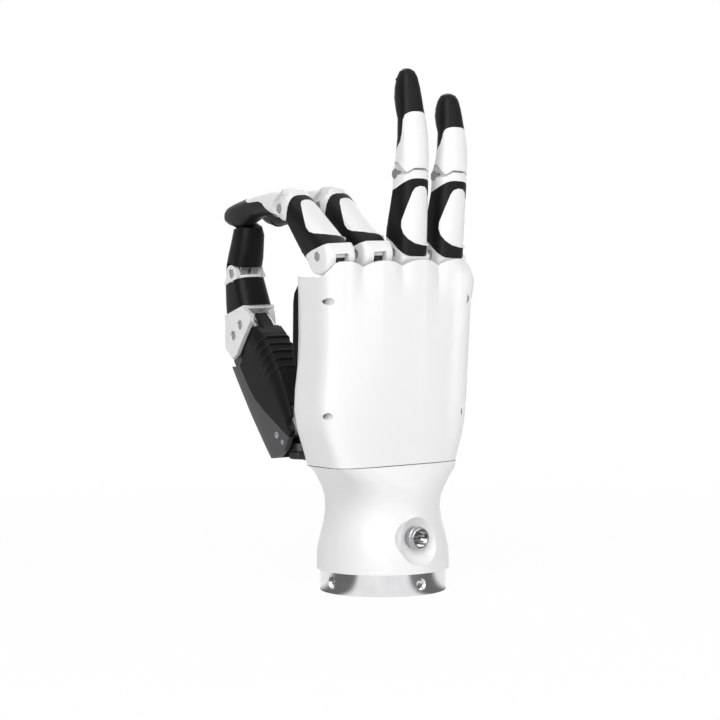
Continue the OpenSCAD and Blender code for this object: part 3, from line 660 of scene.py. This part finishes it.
def grip_ribs(name, node, joint, far_node, spots, width, height, spread):
    """Ribs across the palm side of a finger piece, at spots millimetres from the joint.

    A short finger has no rib at a spot past its end."""
    start, axis = joint_axis(joint)
    along = middle_of(far_node) - start
    along -= axis * along.dot(axis)
    along.normalize()
    palmward = axis.cross(along)
    middle = start + axis * (middle_of(node) - start).dot(axis)
    tree = solid_of(node)
    made = bmesh.new()
    for spot in spots:
        centre = middle + along * spot * MM
        path = laid_on(tree, fan(centre, palmward, axis, 30 * MM, -spread, spread, 24))
        if len(path) > 2:
            add_rib(made, path, width, height)
    if not made.verts:
        raise RuntimeError(name + " found no solid to lie on")
    return closed_piece(name, made, SLOT_OF[node], BODY_OF[node], RIB_SHARP)


class FingerPlace:
    """A finger's knuckle: where it is, and its directions across, along and to the palm side."""

    def __init__(self, finger):
        self.knuckle, axis = joint_axis(finger + "_knuckle")
        self.middle, _ = joint_axis(finger + "_middle_joint")
        self.across = -axis
        self.along = (self.middle - self.knuckle).normalized()
        self.palmward = self.along.cross(self.across)


def back_arc(radius, start, end, count):
    """Points on the back of a circle round the knuckle's axis, (palmward, along) pairs."""
    turns = [start + (end - start) * k / count for k in range(count + 1)]
    return [(-radius * math.cos(turn), radius * math.sin(turn)) for turn in turns]


def knuckle_hood(finger, place, sizes):
    """Closes the back of the drum between the cheeks, as far round as the lug leaves room."""
    radius, inner = sizes.hood_radius, sizes.hood_inner
    low_inner = math.acos(sizes.hood_gap / inner)
    low_outer = math.acos(sizes.hood_gap / radius)
    below_sleeve = 1.22 * MM
    top = math.asin(below_sleeve / radius)
    outline = back_arc(radius, -top, -low_outer, 16) + back_arc(inner, -low_inner, -top, 8)
    return prism(
        finger + "_knuckle_hood", outline, place.knuckle, place.palmward, place.along,
        place.across, sizes.hood_half, finger + "_proximal",
    )


def lug_cap(finger, place, sizes):
    """White cap over the back of the palm's lug, seen below the knuckle's hood."""
    low, high = math.radians(-6), math.radians(44)
    outline = back_arc(sizes.cap_radius, low, high, 16)
    outline += back_arc(sizes.cap_radius - sizes.cap_wall, high, low, 16)
    return prism(
        finger + "_lug_cap", outline, place.knuckle, UP.cross(place.across), UP,
        place.across, sizes.cap_half, "palm",
    )


def knuckle_valleys(piece, depth, width, low, high):
    """Presses soft valleys into the palm's back below the notches between the knuckles."""
    spots = [FingerPlace(finger).knuckle.x for finger in FINGERS]
    notches = [(a + b) / 2 for a, b in zip(spots, spots[1:])]
    finger_room = 8 * MM
    left, right = spots[0] - finger_room, spots[-1] + finger_room
    back_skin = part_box("back_cover")[0].y + 1.2 * MM
    made = bmesh.new()
    made.from_mesh(piece.data)
    cuts = [((x, 0, 0), (1, 0, 0)) for x in steps_between(left, right, 1.4 * MM)]
    cuts += [((0, 0, z), (0, 0, 1)) for z in steps_between(low, high, 1.8 * MM)]
    for place, normal in cuts:
        region = [f for f in made.faces if max(v.co.z for v in f.verts) > low - 1 * MM]
        parts = {v for f in region for v in f.verts} | {e for f in region for e in f.edges}
        bmesh.ops.bisect_plane(
            made, geom=list(parts) + region, plane_co=place, plane_no=normal, dist=0.01 * MM
        )
    for vert in made.verts:
        if vert.co.y > back_skin or vert.co.z < low:
            continue
        share = sum(math.exp(-((vert.co.x - x) / width) ** 2) for x in notches)
        vert.co.y += depth * share * ease((vert.co.z - low) / (high - low))
    reshape(piece, made)


def fullness_at(height):
    """The share of FULL_EDGE at a height."""
    for (low, before), (high, after) in zip(FULL_EDGE, FULL_EDGE[1:]):
        if low * MM <= height <= high * MM:
            return before + (after - before) * (height - low * MM) / ((high - low) * MM)
    return 0.0


def fuller_edge(piece):
    """Squares up the palm's rounded back edge on the little finger's side.

    The side wall and the flat back stay where they are."""
    rounding, middle_y = 12.7 * MM, -10.3 * MM
    side_top, top_height, side_lean = 34.8 * MM, 137 * MM, 0.0646
    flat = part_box("back_cover")[0].y
    made = bmesh.new()
    made.from_mesh(piece.data)
    for height, _ in FULL_EDGE:
        bmesh.ops.bisect_plane(
            made, geom=list(made.verts) + list(made.edges) + list(made.faces),
            plane_co=(0, 0, height * MM), plane_no=(0, 0, 1), dist=0.01 * MM,
        )
    for vert in made.verts:
        side = side_top - side_lean * (top_height - vert.co.z)
        east, back = vert.co.x - (side - rounding), middle_y - vert.co.y
        if east <= 0 or back <= 0:
            continue
        swell = fullness_at(vert.co.z) * math.sin(2 * math.atan2(back, east)) ** 2
        vert.co.x = min(vert.co.x + east * swell, max(vert.co.x, side))
        vert.co.y = max(vert.co.y - back * swell, min(vert.co.y, flat))
    reshape(piece, made)


def steps_between(low, high, step):
    """Even places from low to high, about step apart."""
    count = int((high - low) / step)
    return [low + (high - low) * k / count for k in range(count + 1)]


def shadow_joint(name, nodes, height, width, body):
    """Thin dark strip round the nodes at a height: a painted shadow that stands for the shade in the joint's gap.
    """
    centre = middle_of(nodes[0])
    centre.z = height
    lines = fan(centre, Vector((1, 0, 0)), Vector((0, 1, 0)), 80 * MM, 0, 2 * math.pi, 144)
    made = bmesh.new()
    add_rib(made, laid_on(solid_of(*nodes), lines), width, height=0.06 * MM, taper=0.001)
    return closed_piece(name, made, "dark_frame", body, RIB_SHARP)


def shoulder(finger, side, sizes):
    """White wall round the top corner of the palm beside a finger, up to the scallops.

    It stays clear of the room that the knuckle turns in."""
    low, high = sizes.shoulder_low, sizes.shoulder_high
    sunk, chamfer, root = 0.03 * MM, 0.25 * MM, 0.6 * MM
    knuckle = FingerPlace(finger).knuckle
    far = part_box("back_cover")[0 if side < 0 else 1].x
    centre = Vector((far - side * 10 * MM, -12.5 * MM, low - 1 * MM))
    start, rise_start, rise_turn = math.radians(8), math.radians(10), math.radians(52)
    lines = fan(
        centre, Vector((side, 0, 0)), Vector((0, -1, 0)), 40 * MM, start, math.radians(92), 28
    )
    made = bmesh.new()
    rings = []
    for place, _ in laid_on(solid_of("back_cover"), lines):
        outward = (place - centre).normalized()
        turn = math.atan2(-outward.y, side * outward.x)
        top = low + (high - low) * ease((turn - rise_start) / rise_turn)
        outer = place - outward * sunk
        inner = place - outward * sizes.shoulder_wall
        inside = sizes.knuckle_room ** 2 - (inner.y - knuckle.y) ** 2
        if inside > 0:
            top = max(low, min(top, knuckle.z - math.sqrt(inside)))
        rings.append([
            made.verts.new((spot.x, spot.y, z))
            for spot, z in (
                (outer, low - root), (outer, top - chamfer), (outer - outward * chamfer, top),
                (inner, top), (inner, low - root),
            )
        ])
    join_rings(made, rings)
    return closed_piece(finger + "_shoulder", made, "white_shell", "palm", DETAIL_SHARP)


def prism(name, outline, origin, east, north, across, half_width, body):
    """The outline, drawn east and north of origin, drawn out to half_width on both sides."""
    made = bmesh.new()
    join_rings(made, [
        [made.verts.new(origin + east * x + north * y + across * side) for x, y in outline]
        for side in (-half_width, half_width)
    ])
    return closed_piece(name, made, "white_shell", body, DETAIL_SHARP)


def pressed_against(piece, nodes, lift, gap, depth):
    """Lifts the piece's soft end by lift, and stops it gap short of the nodes above it."""
    tree = solid_of(*nodes)
    below = 2 * MM
    top = max(vert.co.z for vert in piece.data.vertices)
    for vert in piece.data.vertices:
        share = ease((vert.co.z - (top - depth)) / depth)
        if share == 0:
            continue
        place, _, _, above = tree.ray_cast(vert.co - UP * below, UP)
        rise = lift * share
        if place:
            rise = min(rise, above - below - gap)
        vert.co.z += rise
    piece.data.update()


# ---- operators -------------------------------------------------------------
class PieceOperator:
    """Shared by the operators that dress a group of pieces."""

    bl_options = {"REGISTER", "UNDO"}

    def execute(self, context):
        self.dress(context.scene, context.scene.hand_edges)
        return {"FINISHED"}


class HAND_OT_wrist(PieceOperator, bpy.types.Operator):
    """Dress the wrist flange, the cuff and the connector"""

    bl_idname = "robot_hand.wrist"
    bl_label = "Wrist"

    def dress(self, scene, edges):
        soften("wrist_flange", edges.machined, "turned_flange")
        soften("wrist_cuff", edges.moulded)
        soften("connector_barrel", edges.machined, "chrome")
        paint_frame("connector_insert", as_slot="turned_flange")
        paint_frame("connector_pins", as_slot="dark_metal")


class HAND_OT_palm(PieceOperator, bpy.types.Operator):
    """Dress the palm's covers, pad and screws"""

    bl_idname = "robot_hand.palm"
    bl_label = "Palm"

    def dress(self, scene, edges):
        sizes = scene.hand_palm
        back = soften("back_cover", edges.moulded)
        knuckle_valleys(
            back, sizes.valley_depth, sizes.valley_width, sizes.valley_low, sizes.valley_high
        )
        # Painted shadow: a dark strip where the shade of the gap between cuff and palm falls
        shadow_joint(
            "palm_joint_painted_shadow", ["wrist_cuff", "back_cover", "palm_cover"], sizes.line_height,
            sizes.line_width, "palm",
        )
        soften("palm_cover", edges.moulded)
        soften("palm_pad", edges.soft)
        screws = soften("cover_screws", edges.machined)
        shoulder("index", -1, sizes)
        little_shoulder = shoulder("little", 1, sizes)
        for piece in (back, screws, little_shoulder):
            fuller_edge(piece)


class HAND_OT_drives(PieceOperator, bpy.types.Operator):
    """Finish the pieces inside the palm and the thumb"""

    bl_idname = "robot_hand.drives"
    bl_label = "Drives and frame"

    def dress(self, scene, edges):
        paint_frame(
            "palm_frame", "control_board", "finger_motors", "finger_gearboxes",
            "finger_lead_screws", "thumb_motor",
        )


class HAND_OT_fingers(PieceOperator, bpy.types.Operator):
    """Dress the first segment of each finger"""

    bl_idname = "robot_hand.fingers"
    bl_label = "Fingers"

    def dress(self, scene, edges):
        sizes = scene.hand_fingers
        for finger in FINGERS:
            soften(finger + "_frame", edges.moulded)
            place = FingerPlace(finger)
            lug_cap(finger, place, sizes)
            knuckle_hood(finger, place, sizes)
            soften(finger + "_sleeve", edges.soft)
            grip_ribs(
                finger + "_sleeve_grip", finger + "_sleeve", finger + "_knuckle",
                finger + "_middle_pin", spots=(11, 14.5, 18), width=1.1 * MM,
                height=sizes.rib_height, spread=math.radians(55),
            )
            paint_frame(finger + "_knuckle_pin", finger + "_middle_pin")


class HAND_OT_fingertips(PieceOperator, bpy.types.Operator):
    """Dress the tip of each finger"""

    bl_idname = "robot_hand.fingertips"
    bl_label = "Fingertips"

    def dress(self, scene, edges):
        for finger in FINGERS:
            soften(finger + "_tip_shell", edges.moulded)
            soften(finger + "_tip_pad", edges.soft)
            grip_ribs(
                finger + "_tip_grip", finger + "_tip_pad", finger + "_middle_joint",
                finger + "_tip_pad", spots=(8, 12, 16, 41), width=1.2 * MM,
                height=scene.hand_fingers.rib_height, spread=math.radians(60),
            )
            paint_frame(finger + "_tip_frame", as_slot="white_shell")


class HAND_OT_thumb(PieceOperator, bpy.types.Operator):
    """Dress the thumb from its mount to its tip"""

    bl_idname = "robot_hand.thumb"
    bl_label = "Thumb"

    def dress(self, scene, edges):
        sizes = scene.hand_fingers
        soften("thumb_mount", sizes.mount_edge)
        for node in ("thumb_root_frame", "thumb_push_link"):
            soften(node, edges.machined)
        soften("thumb_swivel", edges.machined, "dark_metal")
        for node in ("thumb_back_shell", "thumb_bracket"):
            soften(node, edges.moulded)
        for node in ("thumb_front_shell", "thumb_mid_cover"):
            soften(node, edges.soft)
        tip = soften("thumb_tip_pad", edges.soft)
        pressed_against(
            tip, ["index_tip_pad", "index_tip_shell"], sizes.pinch_lift, sizes.pinch_gap,
            sizes.pinch_depth,
        )
        soften("thumb_tip_frame", edges.machined)
        self.shell_ribs(sizes.shell_rib_height)
        paint_frame(
            "thumb_swivel_pin", "thumb_root_pin", "thumb_mid_pin", "thumb_link_pin",
            "thumb_last_pin", "thumb_screws",
        )

    def shell_ribs(self, height):
        """Curved grip ribs over the bulge of the thumb's front shell."""
        first, spacing, bow = 24 * MM, 4 * MM, 2.2 * MM
        spread = math.radians(72)
        root, axis = joint_axis("thumb_bend")
        knuckle, _ = joint_axis("thumb_middle_joint")
        along = (knuckle - root).normalized()
        palmward = UP - along * along.z
        palmward.normalize()
        if palmward.y > 0:
            palmward = -palmward
        tree = solid_of("thumb_front_shell")
        made = bmesh.new()
        for k in range(5):
            lines = []
            for i in range(33):
                turn = spread * (i / 16 - 1)
                outward = palmward * math.cos(turn) + axis * math.sin(turn)
                centre = root + along * (first + spacing * k + bow * math.cos(1.2 * turn))
                lines.append((centre + outward * 40 * MM, -outward))
            add_rib(made, laid_on(tree, lines), 1.5 * MM, height)
        closed_piece(
            "thumb_shell_ribs", made, SLOT_OF["thumb_front_shell"], "thumb_root", RIB_SHARP
        )


# ---- stage -----------------------------------------------------------------
def look_from(azimuth, pitch, roll):
    """Right, up and forward directions of a camera."""
    forward = Vector((
        -math.sin(azimuth) * math.cos(pitch), math.cos(azimuth) * math.cos(pitch), -math.sin(pitch)
    ))
    right = Vector((math.cos(azimuth), math.sin(azimuth), 0))
    up = right.cross(forward)
    return (
        right * math.cos(roll) + up * math.sin(roll),
        up * math.cos(roll) - right * math.sin(roll),
        forward,
    )


def make_floor(name, half_span, material):
    """A flat square ground that belongs to the stage."""
    ground = bmesh.new()
    bmesh.ops.create_grid(ground, x_segments=8, y_segments=8, size=half_span)
    mesh = bpy.data.meshes.new(name)
    ground.to_mesh(mesh)
    ground.free()
    mesh.materials.append(material)
    floor = bpy.data.objects.new(name, mesh)
    bpy.context.scene.collection.objects.link(floor)


def make_camera(name, studio, look):
    """A camera at the studio's distance from its aim, turned as look says."""
    right, up, forward = look
    aim = Vector((math.cos(studio.azimuth), math.sin(studio.azimuth), 0)) * studio.aim_side
    aim.z += studio.aim_height
    place = aim - forward * studio.distance
    lens = bpy.data.cameras.new(name)
    lens.sensor_width = 36
    lens.lens = studio.lens
    lens.clip_start = 0.01
    lens.clip_end = 50
    camera = bpy.data.objects.new(name, lens)
    bpy.context.scene.collection.objects.link(camera)
    camera.matrix_world = Matrix((
        (right.x, up.x, -forward.x, place.x),
        (right.y, up.y, -forward.y, place.y),
        (right.z, up.z, -forward.z, place.z),
        (0, 0, 0, 1),
    ))
    return camera


def place_lamp(name, where, aim, size, power):
    """A soft box of size (width, height) that shines from where to aim."""
    lamp = bpy.data.lights.new(name, "AREA")
    lamp.shape = "RECTANGLE"
    lamp.size, lamp.size_y = size
    lamp.energy = power
    holder = bpy.data.objects.new(name, lamp)
    bpy.context.scene.collection.objects.link(holder)
    holder.location = where
    holder.rotation_euler = (Vector(aim) - Vector(where)).to_track_quat("-Z", "Y").to_euler()


def plain_ground(name, seen, studio):
    """White ground that keeps its shadow. Mirrors see it dimmer on both sides in front."""
    shader = Shader(name)
    right, _, forward = look_from(studio.azimuth, 0, 0)
    aside, behind = [
        shader.node(
            "ShaderNodeVectorMath", {"operation": "DOT_PRODUCT"}, shader.place, way, output="Value"
        )
        for way in (right, forward)
    ]
    middle = 1 - (aside.magnitude() + behind * 0.85).step(-6 * MM, 8 * MM)
    strip = middle.larger(behind.step(-9 * MM, 9 * MM))
    camera = shader.node("ShaderNodeLightPath", {}, output="Is Camera Ray")
    white = studio.room + (1 - studio.room) * strip.larger(camera)
    shader.set(Base_Color=(0.9, 0.9, 0.9, 1), Roughness=0.9)
    away = shader.node("ShaderNodeVectorMath", {"operation": "LENGTH"}, shader.place, output="Value")
    glow = shader.node("ShaderNodeEmission", {}, (1, 1, 1, 1), white)
    mixed = shader.node(
        "ShaderNodeMixShader", {}, shader.seen_rays() * (seen + (1 - seen) * away.step(0.15, 0.7)),
        Value(shader, shader.surface.outputs[0]), glow,
    )
    output = next(n for n in shader.tree.nodes if n.bl_idname == "ShaderNodeOutputMaterial")
    shader.feed(output.inputs["Surface"], mixed)
    return shader.material


def studio_world(name, studio):
    """White backdrop and ceiling in a dimmer room, over an even sky."""
    world = bpy.data.worlds.new(name)
    world.use_nodes = True
    nodes = Nodes(world.node_tree)
    way = nodes.node("ShaderNodeTexCoord", {}, output="Generated")
    forward = look_from(studio.azimuth, 0, 0)[2]
    behind = nodes.node(
        "ShaderNodeVectorMath", {"operation": "DOT_PRODUCT"}, way, forward, output="Value"
    )
    height = nodes.node("ShaderNodeSeparateXYZ", {}, way, output="Z")
    backdrop = behind.step(0.15, 0.55).larger(height.step(0.55, 0.85))
    path = nodes.node("ShaderNodeLightPath", {}, output="Is Camera Ray")
    mirrored = studio.room + (1 - studio.room) * backdrop.larger(path)
    seen = nodes.seen_rays()
    background = world.node_tree.nodes["Background"]
    background.inputs["Color"].default_value = (1, 1, 1, 1)
    nodes.feed(background.inputs["Strength"], studio.sky * (1 - seen) + mirrored * seen)
    return world


class HAND_OT_stage(bpy.types.Operator):
    """Make the floor, the lamps and the camera"""

    bl_idname = "robot_hand.stage"
    bl_label = "Stage"
    bl_options = {"REGISTER", "UNDO"}

    def execute(self, context):
        scene = context.scene
        studio = scene.hand_studio
        look = look_from(studio.azimuth, studio.pitch, studio.roll)
        make_floor("floor", 6.0, plain_ground("white floor", 0.96, studio))
        scene.camera = make_camera("camera", studio, look)

        right, _, forward = look
        middle = Vector((0, 0, 0.1))
        for name, away, (width, height), power in (
            ("key", -forward - right * 0.2 + UP * 0.55, (1.2, 1.4), studio.key),
            ("fill", -forward * 0.55 + right * 0.95 + UP * 0.25, (0.5, 1.3), studio.fill),
            ("back", forward * 1.2 + UP * 0.45, (1.3, 1.1), studio.back),
        ):
            place_lamp(name, middle + away, middle, (width, height), power)
        scene.world = studio_world("studio", studio)
        scene.view_settings.view_transform = "Standard"
        return {"FINISHED"}


class HAND_PT_panel(bpy.types.Panel):
    """Shows the hand's settings and the buttons that dress it"""

    bl_idname = "HAND_PT_panel"
    bl_label = "Robot Hand"
    bl_space_type = "VIEW_3D"
    bl_region_type = "UI"
    bl_category = "Robot Hand"

    def draw(self, context):
        layout = self.layout
        scene = context.scene
        for group in (
            scene.hand_colours, scene.hand_edges, scene.hand_palm, scene.hand_fingers,
            scene.hand_studio,
        ):
            column = layout.column(align=True)
            for name in group.__class__.__annotations__:
                column.prop(group, name)
        for operator in OPERATORS:
            layout.operator(operator.bl_idname)


GROUPS = (HandColours, HandEdges, HandPalm, HandFingers, HandStudio)
OPERATORS = (
    HAND_OT_wrist, HAND_OT_palm, HAND_OT_drives, HAND_OT_fingers, HAND_OT_fingertips,
    HAND_OT_thumb, HAND_OT_stage,
)


def register():
    for item in (*GROUPS, *OPERATORS, HAND_PT_panel):
        bpy.utils.register_class(item)
    bpy.types.Scene.hand_colours = bpy.props.PointerProperty(type=HandColours)
    bpy.types.Scene.hand_edges = bpy.props.PointerProperty(type=HandEdges)
    bpy.types.Scene.hand_palm = bpy.props.PointerProperty(type=HandPalm)
    bpy.types.Scene.hand_fingers = bpy.props.PointerProperty(type=HandFingers)
    bpy.types.Scene.hand_studio = bpy.props.PointerProperty(type=HandStudio)


def unregister():
    del bpy.types.Scene.hand_studio
    del bpy.types.Scene.hand_fingers
    del bpy.types.Scene.hand_palm
    del bpy.types.Scene.hand_edges
    del bpy.types.Scene.hand_colours
    for item in reversed((*GROUPS, *OPERATORS, HAND_PT_panel)):
        bpy.utils.unregister_class(item)


def main():
    register()
    ops = bpy.ops.robot_hand
    for step in (ops.wrist, ops.palm, ops.drives, ops.fingers, ops.fingertips, ops.thumb, ops.stage):
        step()


if __name__ == "__main__":
    main()
